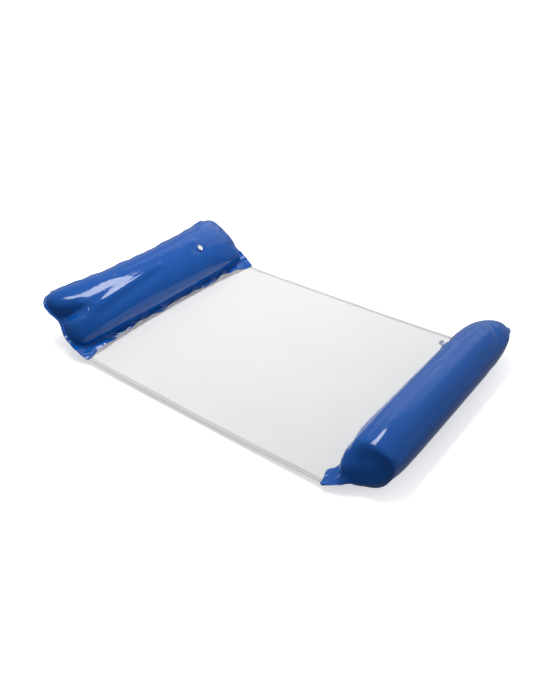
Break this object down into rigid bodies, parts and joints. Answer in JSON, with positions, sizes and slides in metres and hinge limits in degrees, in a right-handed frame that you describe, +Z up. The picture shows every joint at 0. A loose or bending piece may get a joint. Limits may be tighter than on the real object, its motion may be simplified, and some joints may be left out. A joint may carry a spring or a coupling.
{
  "type": "inflatable pool float",
  "caption": "Water hammock: an inflated headrest and an inflated footrest joined by a hemmed fabric panel with open-mesh strips, each chamber with its own push-in valve.",
  "frame": {"origin": "on the floor, under the middle of the float's bounding box", "axes": "+X from the headrest to the footrest, +Y across the float towards the side with both valves, +Z up"},
  "size_m": [1.0944, 0.7642, 0.159],
  "materials": {
    "panel_fabric": "plain woven polyester, matt, slightly creased",
    "hem_fabric": "folded woven edge binding, matt",
    "open_mesh": "open polyester mesh, matt",
    "thread": "lockstitched polyester thread",
    "pvc_film": "glossy soft PVC film with flat welds",
    "valve_pvc": "clear soft PVC"
  },
  "bodies": {
    "panel_head": {"panel_head_half": "panel_fabric", "head_seam_thread": "thread", "near_hem_head_half": "hem_fabric", "far_hem_head_half": "hem_fabric", "near_hem_thread_head_half": "thread", "far_hem_thread_head_half": "thread"},
    "panel_foot": {"panel_foot_half": "panel_fabric", "foot_seam_thread": "thread", "near_hem_foot_half": "hem_fabric", "far_hem_foot_half": "hem_fabric", "near_hem_thread_foot_half": "thread", "far_hem_thread_foot_half": "thread"},
    "headrest": {"headrest_upper_film": "pvc_film", "headrest_lower_film": "pvc_film", "headrest_mesh_strip": "open_mesh", "headrest_valve_base": "pvc_film"},
    "headrest_stem": {"headrest_valve_stem": "valve_pvc", "headrest_valve_tether": "valve_pvc"},
    "headrest_cap": {"headrest_valve_cap": "valve_pvc"},
    "headrest_flap": {"headrest_valve_flap": "valve_pvc"},
    "footrest": {"footrest_upper_film": "pvc_film", "footrest_lower_film": "pvc_film", "footrest_mesh_strip": "open_mesh", "footrest_valve_base": "pvc_film"},
    "footrest_stem": {"footrest_valve_stem": "valve_pvc", "footrest_valve_tether": "valve_pvc"},
    "footrest_cap": {"footrest_valve_cap": "valve_pvc"},
    "footrest_flap": {"footrest_valve_flap": "valve_pvc"}
  },
  "joints": [
    {"name": "panel_fold", "type": "hinge", "parent": "panel_head", "child": "panel_foot", "pos_m": [0.0292, -0.02347, 0.015], "axis": [0, -1, 0], "range_deg": [-45, 90]},
    {"name": "headrest_fold", "type": "hinge", "parent": "panel_head", "child": "headrest", "pos_m": [-0.3633, -0.02347, 0.015], "axis": [0, 1, 0], "range_deg": [-60, 95]},
    {"name": "footrest_fold", "type": "hinge", "parent": "panel_foot", "child": "footrest", "pos_m": [0.4097, -0.02347, 0.015], "axis": [0, -1, 0], "range_deg": [-60, 75]},
    {"name": "headrest_valve_push", "type": "slide", "parent": "headrest", "child": "headrest_stem", "axis": [0.6808, 0.023, 0.7321], "range_m": [0, 0.011]},
    {"name": "headrest_cap_swing", "type": "hinge", "parent": "headrest_stem", "child": "headrest_cap", "pos_m": [-0.42035, 0.1476, 0.14152], "axis": [0.0338, -0.9994, 0], "range_deg": [0, 160]},
    {"name": "headrest_flap_swing", "type": "hinge", "parent": "headrest_stem", "child": "headrest_flap", "pos_m": [-0.43191, 0.14721, 0.12278], "axis": [-0.0338, 0.9994, 0], "range_deg": [0, 50]},
    {"name": "footrest_valve_push", "type": "slide", "parent": "footrest", "child": "footrest_stem", "axis": [-0.838, 0.0155, 0.5455], "range_m": [-0.011, 0]},
    {"name": "footrest_cap_swing", "type": "hinge", "parent": "footrest_stem", "child": "footrest_cap", "pos_m": [0.41824, 0.16052, 0.10698], "axis": [0.0185, 0.9998, 0], "range_deg": [0, 160]},
    {"name": "footrest_flap_swing", "type": "hinge", "parent": "footrest_stem", "child": "footrest_flap", "pos_m": [0.43399, 0.16023, 0.09159], "axis": [-0.0185, -0.9998, 0], "range_deg": [0, 50]}
  ]
}
